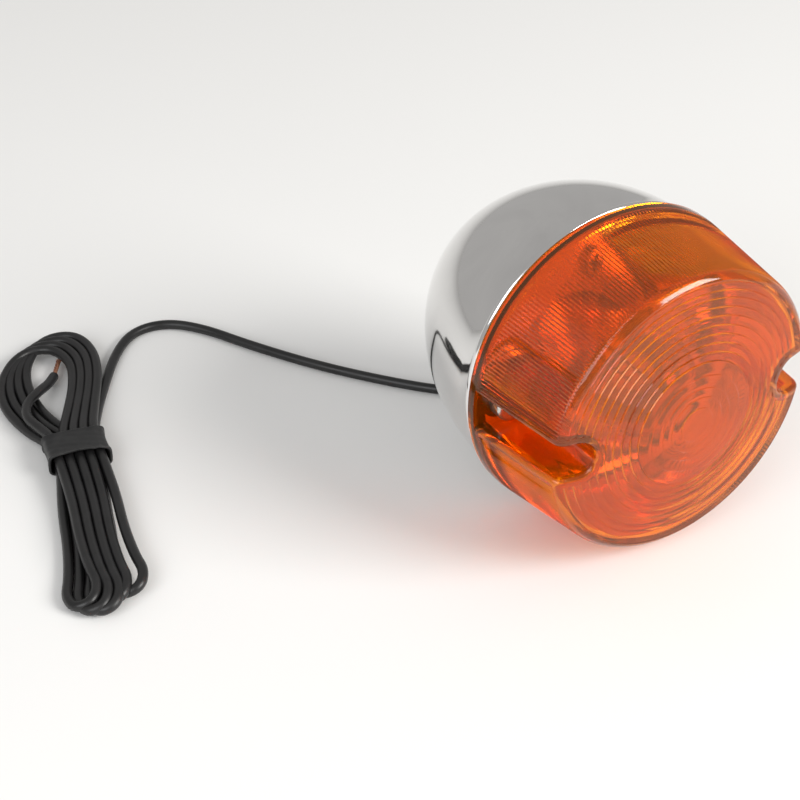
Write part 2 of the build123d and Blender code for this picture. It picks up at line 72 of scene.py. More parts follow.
# ---- lens sizes ----
DOME_RISE = 4.4 * MM
SIDE_HEIGHT = LENS_LENGTH - DOME_RISE
FACE_RADIUS = 34.1 * MM
RIM_BAND = 1.9 * MM
CORNER_RADIUS = 3.0 * MM
LENS_WALL = 2.2 * MM
SEAT_WIDTH = 3.6 * MM
SCREW_OFFSET = 29.0 * MM
SLOT_ZONE = 6.1 * MM
SLOT_JOIN = 0.05 * MM
STEP_FOOT = 0.16 * MM
DISC_STEP_SHARE = 0.35
CORNER_STEPS = 9
INNER_CORNER = 1.2 * MM
PILLOW = 0.14 * MM
SIDE_ROWS = (22.0, 17.0, 11.0, 6.0, 3.6, 2.9)
FLUTE_START = 2.9 * MM
FLUTE_RUN_IN = 0.7 * MM
FLUTE_RUN_OUT = 2.2 * MM
FACE_STEPS = (31.9, 30.3, 28.7, 26.8, 24.9, 22.9, 21.0, 19.0, 17.0, 15.0)
DISC_STEPS = (11.8, 8.9, 6.7, 4.1)

# ---- housing sizes ----
HOUSING_RIM = 35.5 * MM
HOUSING_RIM_HEIGHT = -1.0 * MM
HOUSING_STRAIGHT_END = -4.0 * MM
HOUSING_DEPTH = housing_high.y - SEAT_Y
NOSE_RADIUS = 11.1 * MM
BEAD_RADIUS = 0.8 * MM
SKIN_GAP = 0.02 * MM
SKIN_WALL = 0.4 * MM
SKIN_STEPS = 256

# ---- clear materials: how they bend light, and the tint of what passes through them to the inside ----
ACRYLIC_IOR = 1.49
GLASS_IOR = 1.5
AMBER_SHADE = (0.47, 0.29, 0.035)
GLASS_SHADE = (0.95, 0.96, 0.95)

# ---- the lead's route, out of the grommet, over the surface and round to the hank, in millimetres ----
LEAD_EXIT = (0.0, 26.51, 8.90)
LEAD_REST = 1.25
LEAD_ROUTE = (
    (0.0, 32.33),
    (-9.5, 38.8),
    (-20.0, 51.0),
    (-30.5, 65.5),
    (-40.0, 82.0),
    (-46.5, 95.5),
    (-53.5, 103.0),
    (-62.5, 103.8),
    (-70.5, 97.5),
    (-79.5, 85.7),
)

# ---- the hank: where its waist lies, its lanes under the band, and the fans of loops above and below it ----
WAIST = Vector((-97.5, 63.0, 0.0))
ACROSS = Vector((math.cos(math.radians(14)), -math.sin(math.radians(14)), 0.0))
ALONG = Vector((math.sin(math.radians(14)), math.cos(math.radians(14)), 0.0))
LANES = (4.9, 2.45, 0.0, -2.45, -4.9)
LOW_STRAND, HIGH_STRAND = 1.25, 3.65
LOWER_TIPS = ((-107.8, 15.5), (-112.0, 15.0), (-114.6, 13.4), (-116.6, 14.6), (-118.2, 17.0))
LOWER_LEG = (
    (0.08, 0.4),
    (0.33, 1.25),
    (0.60, 1.35),
    (0.84, 2.3),
    (0.97, 3.6),
)
RIGHT_FAN = (
    ((-86.5, 76.5), HIGH_STRAND),
    ((-79.5, 88.5), HIGH_STRAND),
    ((-75.8, 99.5), HIGH_STRAND),
    ((-77.5, 108.0), HIGH_STRAND),
    ((-85.5, 110.0), 3.2),
    ((-93.0, 103.0), 1.7),
    ((-96.5, 92.5), LOW_STRAND),
    ((-97.0, 80.0), LOW_STRAND),
)
LEFT_FAN = (
    ((-93.0, 77.5), HIGH_STRAND),
    ((-87.0, 87.0), HIGH_STRAND),
    ((-83.0, 96.5), HIGH_STRAND),
    ((-84.5, 105.0), HIGH_STRAND),
    ((-92.0, 107.5), 3.2),
    ((-100.0, 101.5), 1.7),
    ((-104.2, 91.5), LOW_STRAND),
    ((-103.6, 79.0), LOW_STRAND),
)
TAIL = (
    ((-101.8, 74.5), 4.5),
    ((-102.6, 80.5), 4.2),
    ((-99.8, 86.0), 4.0),
    ((-94.8, 89.4), 3.7),
    ((-91.0, 92.4), 2.6),
    ((-88.4, 95.6), 1.9),
)
TAIL_HEADING = Vector((math.sin(math.radians(35)), math.cos(math.radians(35)), 0.0))
BARE_LENGTH = 8.0
STRAND_RADIUS = 0.19
STRANDS = 7
LAY_REACH = 0.38

# ---- the band round the hank, in millimetres ----
BAND_HALF_WIDTH = 7.55
BAND_HALF_HEIGHT = 3.35
BAND_HALF_LENGTH = 4.4
BAND_MIDDLE = 3.45
BAND_WALL = 0.7
LANE_PITCH = 2.45

# ---- camera and lights, in metres ----
CAMERA_PLACE = (-0.2387, -0.2915, 0.2882)
CAMERA_RIGHT = (0.8390, -0.5441, 0.0052)
CAMERA_UP = (0.3147, 0.4930, 0.8112)
CAMERA_FORWARD = (0.4439, 0.6789, -0.5848)
SENSOR_WIDTH = 36
LIGHT_TARGET = (0, 0, 0.03)
KEY_PLACE = (0.55, -0.85, 0.62)
KEY_SIZE = (0.6, 0.6)
FILL_PLACE = (-0.75, -0.35, 0.55)
FILL_SIZE = (0.7, 0.5)
SKY_COLOUR = (0.62, 0.61, 0.60)
FLOOR_REACH = 3.0


# ---- settings ----
class LensSettings(bpy.types.PropertyGroup):
    """Sizes and colour of the amber lens."""

    flutes: IntProperty(name="Flutes", description="Axial flutes round the lens's side", default=264, min=24)
    flute_depth: FloatProperty(
        name="Flute depth", description="How deep each flute is cut", default=0.23 * MM, unit="LENGTH", precision=5
    )
    step_relief: FloatProperty(
        name="Ring step", description="Height of the rings' steps on the face", default=0.26 * MM, unit="LENGTH",
        precision=5,
    )
    colour: FloatVectorProperty(
        name="Amber", description="Tint of the lens's plastic", default=(0.92, 0.25, 0.002), size=3, subtype="COLOR",
        min=0, max=1,
    )


class HousingSettings(bpy.types.PropertyGroup):
    """Finish of the housing and its metal fittings."""

    chrome: FloatVectorProperty(
        name="Chrome", description="Colour of the chrome plating", default=(0.80, 0.79, 0.78), size=3,
        subtype="COLOR", min=0, max=1,
    )
    bead: FloatProperty(
        name="Rim bead", description="Radius of the rolled bead at the rim", default=BEAD_RADIUS, unit="LENGTH",
        precision=5,
    )


class LeadSettings(bpy.types.PropertyGroup):
    """Size and colour of the lead."""

    diameter: FloatProperty(
        name="Lead diameter", description="Outside diameter of the lead", default=2.4 * MM, unit="LENGTH", precision=5
    )
    colour: FloatVectorProperty(
        name="Lead colour", description="Colour of the lead's covering", default=(0.0065, 0.0063, 0.0065), size=3,
        subtype="COLOR", min=0, max=1,
    )


class StageSettings(bpy.types.PropertyGroup):
    """Floor, light and camera."""

    floor: FloatVectorProperty(
        name="Floor", description="Colour of the floor", default=(0.87, 0.87, 0.86), size=3, subtype="COLOR",
        min=0, max=1,
    )
    key: FloatProperty(name="Key light", description="Power of the key light", default=15.0, unit="POWER")
    fill: FloatProperty(name="Fill light", description="Power of the fill light", default=4.0, unit="POWER")
    sky: FloatProperty(name="Sky", description="Strength of the even light from all round", default=0.74, min=0)
    focal: FloatProperty(name="Focal length", description="Focal length of the camera", default=90.0, unit="CAMERA")


# ---- shader helpers ----
def node(tree, kind, values=None, **settings):
    """A shader node with its settings and its sockets' values."""
    made = tree.nodes.new(kind)
    for name, value in settings.items():
        setattr(made, name, value)
    for socket, value in (values or {}).items():
        made.inputs[socket].default_value = value
    return made


def group(name, inputs, outputs):
    """An empty node group with named sockets, its input node and its output node."""
    tree = bpy.data.node_groups.new(name, "ShaderNodeTree")
    for socket, value in inputs.items():
        made = tree.interface.new_socket(name=socket, in_out="INPUT", socket_type="NodeSocketFloat")
        made.default_value = value
    for socket in outputs:
        tree.interface.new_socket(name=socket, in_out="OUTPUT", socket_type="NodeSocketFloat")
    return tree, tree.nodes.new("NodeGroupInput"), tree.nodes.new("NodeGroupOutput")


def handling_group():
    """Handling marks: broad smudges and fine specks, as a mask and a height."""
    name = "handling_marks"
    if name in bpy.data.node_groups:
        return bpy.data.node_groups[name]
    tree, enter, leave = group(name, {"Smudge size": 90.0, "Grain size": 2500.0, "Contrast": 0.5}, ("Mask", "Height"))
    place = node(tree, "ShaderNodeTexCoord")
    smudge = node(tree, "ShaderNodeTexNoise", {"Detail": 4.0, "Roughness": 0.6, "Distortion": 0.6})
    grain = node(tree, "ShaderNodeTexNoise", {"Detail": 2.0})
    spread = node(tree, "ShaderNodeMapRange", {"From Min": 0.35, "From Max": 0.72})
    scaled = node(tree, "ShaderNodeMath", operation="MULTIPLY")
    tree.links.new(place.outputs["Object"], smudge.inputs["Vector"])
    tree.links.new(place.outputs["Object"], grain.inputs["Vector"])
    tree.links.new(enter.outputs["Smudge size"], smudge.inputs["Scale"])
    tree.links.new(enter.outputs["Grain size"], grain.inputs["Scale"])
    tree.links.new(smudge.outputs["Fac"], spread.inputs["Value"])
    tree.links.new(spread.outputs["Result"], scaled.inputs[0])
    tree.links.new(enter.outputs["Contrast"], scaled.inputs[1])
    tree.links.new(scaled.outputs["Value"], leave.inputs["Mask"])
    tree.links.new(grain.outputs["Fac"], leave.inputs["Height"])
    return tree


def turned_lines_group():
    """Lines left by turning, as rings about the lamp's axis."""
    name = "turned_lines"
    if name in bpy.data.node_groups:
        return bpy.data.node_groups[name]
    tree, enter, leave = group(name, {"Lines": 700.0, "Unevenness": 1.5}, ("Height", "Mask"))
    place = node(tree, "ShaderNodeTexCoord")
    centred = node(tree, "ShaderNodeMapping", {"Location": (0.0, -SEAT_Y, -AXIS_HEIGHT)})
    flat = node(tree, "ShaderNodeMapping", {"Scale": (1.0, 0.35, 1.0)})
    rings = node(tree, "ShaderNodeTexWave", {"Detail": 2.0, "Detail Scale": 2.0}, wave_type="RINGS",
                 rings_direction="SPHERICAL")
    tree.links.new(place.outputs["Object"], centred.inputs["Vector"])
    tree.links.new(centred.outputs["Vector"], flat.inputs["Vector"])
    tree.links.new(flat.outputs["Vector"], rings.inputs["Vector"])
    tree.links.new(enter.outputs["Lines"], rings.inputs["Scale"])
    tree.links.new(enter.outputs["Unevenness"], rings.inputs["Distortion"])
    tree.links.new(rings.outputs["Fac"], leave.inputs["Height"])
    tree.links.new(rings.outputs["Fac"], leave.inputs["Mask"])
    return tree


def finish(
    name, colour, worn, rough, rough_worn, metallic=0.0, smudge=90.0, grain=2500.0, bump=0.0, lines=0.0, **plain
):
    """A material whose colour and roughness vary with handling marks, with a fine grain or turned lines of a
    height in millimetres in its surface; what is plain goes straight to the shader's sockets."""
    if name in bpy.data.materials:
        bpy.data.materials.remove(bpy.data.materials[name])
    material = bpy.data.materials.new(name)
    material.use_nodes = True
    tree = material.node_tree
    surface = tree.nodes["Principled BSDF"]
    surface.inputs["Metallic"].default_value = metallic
    for socket, value in plain.items():
        surface.inputs[socket.replace("_", " ")].default_value = value
    marks = node(tree, "ShaderNodeGroup", node_tree=handling_group())
    marks.inputs["Smudge size"].default_value = smudge
    marks.inputs["Grain size"].default_value = grain
    marks.inputs["Contrast"].default_value = 1.0
    tint = node(tree, "ShaderNodeMix", data_type="RGBA")
    tint.inputs["A"].default_value = (*colour, 1)
    tint.inputs["B"].default_value = (*worn, 1)
    ease = node(tree, "ShaderNodeMapRange", {"To Min": rough, "To Max": rough_worn})
    tree.links.new(marks.outputs["Mask"], tint.inputs["Factor"])
    tree.links.new(marks.outputs["Mask"], ease.inputs["Value"])
    tree.links.new(tint.outputs["Result"], surface.inputs["Base Color"])
    tree.links.new(ease.outputs["Result"], surface.inputs["Roughness"])
    height = marks.outputs["Height"]
    if lines:
        turned = node(tree, "ShaderNodeGroup", node_tree=turned_lines_group())
        turned.inputs["Lines"].default_value = lines
        height = turned.outputs["Height"]
    if bump:
        relief = node(tree, "ShaderNodeBump", {"Strength": 0.6, "Distance": bump * MM})
        tree.links.new(height, relief.inputs["Height"])
        tree.links.new(relief.outputs["Normal"], surface.inputs["Normal"])
    return material


def let_light_in(material, colour):
    """Lets lamps shine through a clear material, tinted by its colour, so that what is inside is lit."""
    tree = material.node_tree
    surface = tree.nodes["Principled BSDF"]
    out = tree.nodes["Material Output"]
    path = node(tree, "ShaderNodeLightPath")
    clear = node(tree, "ShaderNodeBsdfTransparent", {"Color": (*colour, 1)})
    mixed = node(tree, "ShaderNodeMixShader")
    tree.links.new(path.outputs["Is Shadow Ray"], mixed.inputs["Fac"])
    tree.links.new(surface.outputs["BSDF"], mixed.inputs[1])
    tree.links.new(clear.outputs["BSDF"], mixed.inputs[2])
    tree.links.new(mixed.outputs["Shader"], out.inputs["Surface"])
    return material


# ---- mesh helpers ----
def fresh(name):
    """Removes an earlier piece of that name, so that an operator can be run again."""
    old = bpy.data.objects.get(name)
    if old is not None:
        bpy.data.objects.remove(old)


def object_of(bm, name, place=None):
    """The bmesh as an object at the origin, with its place in its mesh."""
    if place is not None:
        bmesh.ops.transform(bm, matrix=place, verts=bm.verts)
    mesh = bpy.data.meshes.new(name)
    bm.to_mesh(mesh)
    bm.free()
    made = bpy.data.objects.new(name, mesh)
    bpy.context.scene.collection.objects.link(made)
    return made


def smooth(made, angle):
    """Smooth shading, with edges sharper than the angle kept crisp."""
    bm = bmesh.new()
    bm.from_mesh(made.data)
    for face in bm.faces:
        face.smooth = True
    for edge in bm.edges:
        edge.smooth = edge.calc_face_angle(math.pi) < math.radians(angle)
    bm.to_mesh(made.data)
    bm.free()
    if "custom_normal" in made.data.attributes:
        made.data.attributes.remove(made.data.attributes["custom_normal"])


def dress(made, body, material):
    """Gives a piece its material and body."""
    made.data.materials.clear()
    made.data.materials.append(material)
    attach(made, body)
    return made


def spun(outline, steps):
    """A bmesh turned about the z axis from an outline of (radius, height) points; ends on the axis close it."""
    bm = bmesh.new()
    points = [bm.verts.new((radius, 0, height)) for radius, height in outline]
    for pair in zip(points, points[1:]):
        bm.edges.new(pair)
    if outline[0][0] > 0:
        bm.edges.new((points[-1], points[0]))
    bmesh.ops.spin(
        bm, geom=bm.verts[:] + bm.edges[:], cent=(0, 0, 0), axis=(0, 0, 1), dvec=(0, 0, 0), angle=2 * math.pi,
        steps=steps, use_merge=True, use_normal_flip=False, use_duplicate=False,
    )
    bmesh.ops.remove_doubles(bm, verts=bm.verts, dist=1e-7)
    bmesh.ops.recalc_face_normals(bm, faces=bm.faces)
    return bm


def merged(name):
    """A bmesh copy of a frame piece with its loose triangles merged."""
    bm = bmesh.new()
    bm.from_mesh(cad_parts[name].data)
    bmesh.ops.remove_doubles(bm, verts=bm.verts, dist=1e-6)
    return bm


def combine(target, tool, operation):
    """Cuts or joins the target with a tool object, which is used up."""
    modifier = target.modifiers.new("combine", "BOOLEAN")
    modifier.operation = operation
    modifier.solver = "MANIFOLD"
    modifier.object = tool
    bpy.context.view_layer.update()
    result = bpy.data.meshes.new_from_object(target.evaluated_get(bpy.context.evaluated_depsgraph_get()))
    target.modifiers.clear()
    if not result.polygons:
        raise RuntimeError("nothing is left of " + target.name + " after " + operation)
    target.data = result
    bpy.data.objects.remove(tool)


def smoothed(name, body, material, angle=30):
    """A merged and smoothly shaded copy of a frame piece, which it stands for."""
    fresh(name + "_finished")
    made = object_of(merged(name), name + "_finished")
    smooth(made, angle)
    dress(made, body, material)
    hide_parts(name)
    return made


def arc(centre, radius, start, end, count):
    """Points of an arc in the outline's plane, angles in degrees."""
    turns = [math.radians(start + (end - start) * i / count) for i in range(count + 1)]
    return [(centre[0] + radius * math.cos(t), centre[1] + radius * math.sin(t)) for t in turns]


# ---- lens ----
def dome_height(radius, top, edge_radius):
    """Height of a dome of the lens's rise at a radius."""
    ball = (edge_radius**2 + DOME_RISE**2) / (2 * DOME_RISE)
    return top - ball + math.sqrt(ball**2 - radius**2)


def lens_outline(relief):
    """The lens's outline, from the outer pole, round the rim and back to the inner pole."""
    ball = (FACE_RADIUS**2 + DOME_RISE**2) / (2 * DOME_RISE)
    edge = Vector((FACE_RADIUS, SIDE_HEIGHT))
    foot = Vector((RIM_RADIUS, RIM_BAND))
    side = (edge - foot).normalized()
    slope = math.asin(FACE_RADIUS / ball)
    face = Vector((-math.cos(slope), math.sin(slope)))
    reach = CORNER_RADIUS * math.tan(side.angle(face) / 2)
    start = edge - side * reach
    end = edge + face * reach
    centre = start + Vector((-side.y, side.x)) * CORNER_RADIUS
    first = math.degrees(math.atan2(start.y - centre.y, start.x - centre.x))
    last = math.degrees(math.atan2(end.y - centre.y, end.x - centre.x))

    outer = [(0.0, LENS_LENGTH)]
    inside = 0.0
    for radius in sorted(DISC_STEPS):
        outside = radius * MM
        drop = relief * DISC_STEP_SHARE
        height = dome_height(outside, LENS_LENGTH, FACE_RADIUS)
        if inside:
            outer.append((inside + STEP_FOOT, dome_height(inside, LENS_LENGTH, FACE_RADIUS) - drop))
        outer.append((outside, height))
        inside = outside
    for radius in sorted(FACE_STEPS):
        outside = radius * MM
        drop = relief * (DISC_STEP_SHARE if radius == FACE_STEPS[-1] else 1.0)
        height = dome_height(inside, LENS_LENGTH, FACE_RADIUS) - drop
        outer.append((inside + STEP_FOOT, height))
        middle = (inside + outside) / 2
        crown = dome_height(middle, LENS_LENGTH, FACE_RADIUS) - drop * 0.25
        outer.append((middle, crown))
        outer.append((outside, dome_height(outside, LENS_LENGTH, FACE_RADIUS)))
        inside = outside
    corner = arc(centre, CORNER_RADIUS, last, first, CORNER_STEPS)
    outer += [(inside + 0.12 * MM, outer[-1][1] - STEP_FOOT)]
    outer += [point for point in corner if point[0] > inside + 0.3 * MM]
    for height in SIDE_ROWS:
        share = (height * MM - RIM_BAND) / (SIDE_HEIGHT - RIM_BAND)
        outer.append((RIM_RADIUS + (FACE_RADIUS - RIM_RADIUS) * share, height * MM))
    outer += [(RIM_RADIUS - 0.02 * MM, RIM_BAND), (RIM_RADIUS, RIM_BAND - 0.2 * MM)]
    outer += [(RIM_RADIUS, 0.25 * MM), (RIM_RADIUS - 0.25 * MM, 0.0)]

    seat = RIM_RADIUS - SEAT_WIDTH
    inner_radius = FACE_RADIUS - LENS_WALL
    inner_side = SIDE_HEIGHT - LENS_WALL
    inner_top = LENS_LENGTH - LENS_WALL
    inner = [(seat + 0.2 * MM, 0.0), (seat, 0.2 * MM)]
    inner += [(seat + (inner_radius - seat) * i / 4, inner_side * i / 4) for i in range(1, 4)]
    inner += arc((inner_radius - INNER_CORNER, inner_side - 1.0 * MM), INNER_CORNER, 10, 70, 3)
    radii = [radius * MM for radius in FACE_STEPS] + [radius * MM for radius in DISC_STEPS]
    for outside, inside in zip(radii, radii[1:]):
        for share in (0.15, 0.5, 0.85):
            radius = outside + (inside - outside) * share
            if radius > inner_radius - INNER_CORNER:
                continue
            pillow = PILLOW * (1.0 if share == 0.5 else 0.2)
            inner.append((radius, dome_height(radius, inner_top, inner_radius) - pillow))
    inner.append((0.0, inner_top))
    return outer + inner


def flute_share(height):
    """How deep the flutes are at a height: none on the rim band, full on the side, none past the corner."""
    rise = min(max((height - FLUTE_START) / FLUTE_RUN_IN, 0), 1)
    fall = min(max((SIDE_HEIGHT + 0.2 * MM - height) / FLUTE_RUN_OUT, 0), 1)
    return rise * fall


def slot_prism(half_width, side, name):
    """An object round one screw slot, a prism with a round inner end, to cut or keep by."""
    bm = bmesh.new()
    bmesh.ops.create_circle(bm, cap_ends=True, segments=64, radius=half_width)
    for vert in bm.verts:
        if vert.co.x > 1e-6:
            vert.co.x += 20 * MM
    grown = bmesh.ops.extrude_face_region(bm, geom=bm.faces[:])
    tops = [item for item in grown["geom"] if isinstance(item, bmesh.types.BMVert)]
    bmesh.ops.translate(bm, vec=(0, 0, 45 * MM), verts=tops)
    bmesh.ops.translate(bm, vec=(SCREW_OFFSET, 0, -5 * MM), verts=bm.verts)
    if side < 0:
        bmesh.ops.rotate(bm, cent=(0, 0, 0), matrix=Matrix.Rotation(math.pi, 3, "Z"), verts=bm.verts)
    bmesh.ops.recalc_face_normals(bm, faces=bm.faces)
    return object_of(bm, name, LAMP)


def amber_plastic(colour):
    """Clear amber plastic, with a little body colour of its own."""
    material = finish(
        "amber_plastic", colour, [c * 0.93 for c in colour], 0.035, 0.11, smudge=60, grain=900, bump=0.004,
        IOR=ACRYLIC_IOR, Transmission_Weight=0.91, Specular_IOR_Level=0.34,
    )
    return let_light_in(material, AMBER_SHADE)


class SIGNAL_OT_lens(bpy.types.Operator):
    """Builds the fluted amber lens with its ringed face and two screw slots"""

    bl_idname = "signal.lens"
    bl_label = "Lens"

    def execute(self, context):
        settings = context.scene.signal_lens
        fresh("amber_lens")
        bm = spun(lens_outline(settings.step_relief), 2 * settings.flutes)
        step = math.pi / settings.flutes
        for vert in bm.verts:
            radius = math.hypot(vert.co.x, vert.co.y)
            outside = radius > FACE_RADIUS - 2.0 * MM
            wall = radius > RIM_RADIUS - (RIM_RADIUS - FACE_RADIUS + 1.2 * MM) * vert.co.z / SIDE_HEIGHT - 1.0 * MM
            share = flute_share(vert.co.z) if outside and wall else 0
            if share and round(math.atan2(vert.co.y, vert.co.x) / step) % 2:
                scale = 1 - settings.flute_depth * share / radius
                vert.co.x *= scale
                vert.co.y *= scale
        made = object_of(bm, "amber_lens", LAMP)
        for side in (-1, 1):
            combine(made, slot_prism(SLOT_ZONE, side, "slot_cut"), "DIFFERENCE")
            slot = object_of(merged("lens"), "slot_walls")
            combine(slot, slot_prism(SLOT_ZONE + SLOT_JOIN, side, "slot_keep"), "INTERSECT")
            combine(made, slot, "UNION")
        smooth(made, 24)
        dress(made, "lens", amber_plastic(settings.colour))
        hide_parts("lens")
        return {"FINISHED"}


# ---- housing ----
def bullet_outline(inset):
    """The housing's outline from its rim to its pole, drawn in by a distance."""
    depth = HOUSING_DEPTH + HOUSING_STRAIGHT_END
    side = (HOUSING_RIM**2 + depth**2 - 2 * depth * NOSE_RADIUS) / (2 * (HOUSING_RIM - NOSE_RADIUS))
    centre = (HOUSING_RIM - side, HOUSING_STRAIGHT_END)
    nose = (0.0, NOSE_RADIUS - HOUSING_DEPTH)
    turn = math.degrees(math.atan2(HOUSING_STRAIGHT_END - nose[1], -centre[0]))
    outline = [(HOUSING_RIM - inset, HOUSING_RIM_HEIGHT)]
    outline += arc(centre, side - inset, 0, -turn, 40)
    outline += arc(nose, NOSE_RADIUS - inset, -turn, -90, 12)[1:]
    outline[-1] = (0.0, outline[-1][1])
    return outline


class SIGNAL_OT_housing(bpy.types.Operator):
    """Builds the chromed housing with its rolled rim bead"""

    bl_idname = "signal.housing"
    bl_label = "Housing"

    def execute(self, context):
        settings = context.scene.signal_housing
        chrome = finish(
            "chrome", settings.chrome, [c * 0.9 for c in settings.chrome], 0.03, 0.13, metallic=1.0, smudge=45,
            grain=350, bump=0.003,
        )
        casting = smoothed("housing", "housing", chrome)
        casting.name = "housing_casting"
        fresh("housing_shell")
        bead_height = HOUSING_RIM_HEIGHT - settings.bead
        bead = arc((HOUSING_RIM, bead_height), settings.bead + SKIN_GAP, 80, -75, 14)
        outside = [point for point in bullet_outline(-SKIN_GAP) if point[1] < bead_height - settings.bead]
        inside = [point for point in bullet_outline(SKIN_WALL) if point[1] < bead_height - settings.bead]
        rim = [(HOUSING_RIM - SKIN_WALL, HOUSING_RIM_HEIGHT)]
        bm = spun(outside[::-1] + bead[::-1] + rim + inside, SKIN_STEPS)
        shell = object_of(bm, "housing_shell", LAMP)
        smooth(shell, 40)
        dress(shell, "housing", chrome)
        return {"FINISHED"}


# ---- fittings that keep the frame's shapes ----
class SIGNAL_OT_fittings(bpy.types.Operator):
    """Finishes the reflector, socket, contact, screws, washers, gasket and grommet"""

    bl_idname = "signal.fittings"
    bl_label = "Fittings"

    def execute(self, context):
        reflector = finish(
            "spun_aluminium", (0.86, 0.86, 0.86), (0.74, 0.74, 0.73), 0.16, 0.3, metallic=1.0, smudge=70,
            lines=650, bump=0.006,
        )
        steel = finish(
            "zinc_plated_steel", (0.62, 0.62, 0.60), (0.45, 0.44, 0.40), 0.24, 0.45, metallic=1.0, smudge=400,
            grain=3500, bump=0.008,
        )
        spring = finish(
            "spring_steel", (0.42, 0.42, 0.43), (0.28, 0.27, 0.26), 0.28, 0.45, metallic=1.0, smudge=300,
        )
        brass = finish("brass", (0.78, 0.58, 0.27), (0.52, 0.36, 0.16), 0.2, 0.42, metallic=1.0, smudge=260)
        phenolic = finish(
            "phenolic_board", (0.17, 0.075, 0.03), (0.10, 0.045, 0.02), 0.5, 0.68, smudge=600, bump=0.02,
        )
        rubber = finish("moulded_rubber", (0.018, 0.018, 0.018), (0.035, 0.034, 0.033), 0.5, 0.7, smudge=220,
                        grain=1800, bump=0.03)
        smoothed("reflector", "housing", reflector)
        smoothed("reflector_screws", "housing", steel)
        smoothed("socket_shell", "housing", steel)
        smoothed("socket_end_disc", "housing", phenolic)
        smoothed("contact_disc", "contact", phenolic)
        smoothed("contact_button", "contact", brass)
        smoothed("contact_terminal", "contact", brass)
        coil = smoothed("contact_spring", "housing", spring)
        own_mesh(coil)
        smoothed("lens_gasket", "housing", rubber)
        smoothed("wire_grommet", "housing", rubber)
        for side in ("left", "right"):
            smoothed(side + "_screw", side + "_screw", steel)
            smoothed(side + "_washer", side + "_washer", spring)
        return {"FINISHED"}


class SIGNAL_OT_bulb(bpy.types.Operator):
    """Finishes the bulb: glass, stem, supports, filament, base, pins, insulator and solder contact"""

    bl_idname = "signal.bulb"
    bl_label = "Bulb"

    def execute(self, context):
        glass = let_light_in(
            finish("clear_glass", (0.98, 0.99, 0.98), (0.96, 0.97, 0.96), 0.0, 0.03, smudge=80, IOR=GLASS_IOR,
                   Transmission_Weight=1.0),
            GLASS_SHADE,
        )
        brass = finish("nickel_brass", (0.70, 0.60, 0.42), (0.5, 0.4, 0.25), 0.2, 0.4, metallic=1.0, smudge=300)
        tungsten = finish("tungsten", (0.25, 0.25, 0.26), (0.16, 0.16, 0.17), 0.35, 0.55, metallic=1.0, smudge=900,
                          grain=6000, bump=0.01)
        black = finish("black_glass", (0.010, 0.010, 0.012), (0.02, 0.02, 0.02), 0.08, 0.25, smudge=300)
        solder = finish("solder", (0.60, 0.60, 0.61), (0.42, 0.42, 0.43), 0.3, 0.5, metallic=1.0, smudge=700,
                        grain=1500, bump=0.04)
        smoothed("bulb_glass", "bulb", glass)
        smoothed("glass_stem", "bulb", glass)
        smoothed("filament_supports", "bulb", tungsten)
        smoothed("filament", "bulb", tungsten)
        smoothed("bulb_base", "bulb", brass)
        smoothed("bulb_pins", "bulb", brass)
        smoothed("base_insulator", "bulb", black)
        smoothed("solder_contact", "bulb", solder)
        return {"FINISHED"}


# ---- lead, hank, band and stripped end ----
def hank_points():
    """The hank's part of the lead: down the low strand of each lane, round a lower loop, up the high strand and
    round an upper loop to the next lane, and at last the loose tail, as (x, y, z) in millimetres."""
    points = []
    for number, lane in enumerate(LANES):
        for along in (5.5, -5.5):
            points.append(WAIST + ACROSS * lane + ALONG * along + Vector((0, 0, 2.0)))
        tip = Vector((*LOWER_TIPS[number], 0))
        start = WAIST + ACROSS * lane - ALONG * 5.5
        spine = tip - start
        right = Vector((-spine.y, spine.x, 0)).normalized()
        for share, spread in LOWER_LEG:
            height = LOW_STRAND + (0.6 if share < 0.1 else 0.0)
            points.append(start + spine * share - right * spread + Vector((0, 0, height)))
        for spread, height in ((-2.0, 1.6), (2.0, 3.1)):
            points.append(start + spine * 1.075 + right * spread + Vector((0, 0, height)))
        for share, spread in reversed(LOWER_LEG):
            height = HIGH_STRAND + (0.5 if share < 0.1 else 0.0)
            points.append(start + spine * share + right * spread + Vector((0, 0, height)))
        for along in (-5.5, 5.5):
            points.append(WAIST + ACROSS * lane + ALONG * along + Vector((0, 0, 4.4)))
        if number < len(LANES) - 1:
            fan = number / (len(LANES) - 2)
            for (near, height), (far, _) in zip(RIGHT_FAN, LEFT_FAN):
                place = Vector((*near, 0)).lerp(Vector((*far, 0)), fan)
                points.append(place + Vector((0, 0, height)))
    points += [Vector((*place, height)) for place, height in TAIL]
    return points


def lead_points():
    """The whole lead's control points, in metres."""
    points = [Vector(LEAD_EXIT)]
    points += [Vector((*place, LEAD_REST)) for place in LEAD_ROUTE]
    points.append(Vector((-86.0, 76.5, LEAD_REST)))
    points += hank_points()
    return [point * MM for point in points]


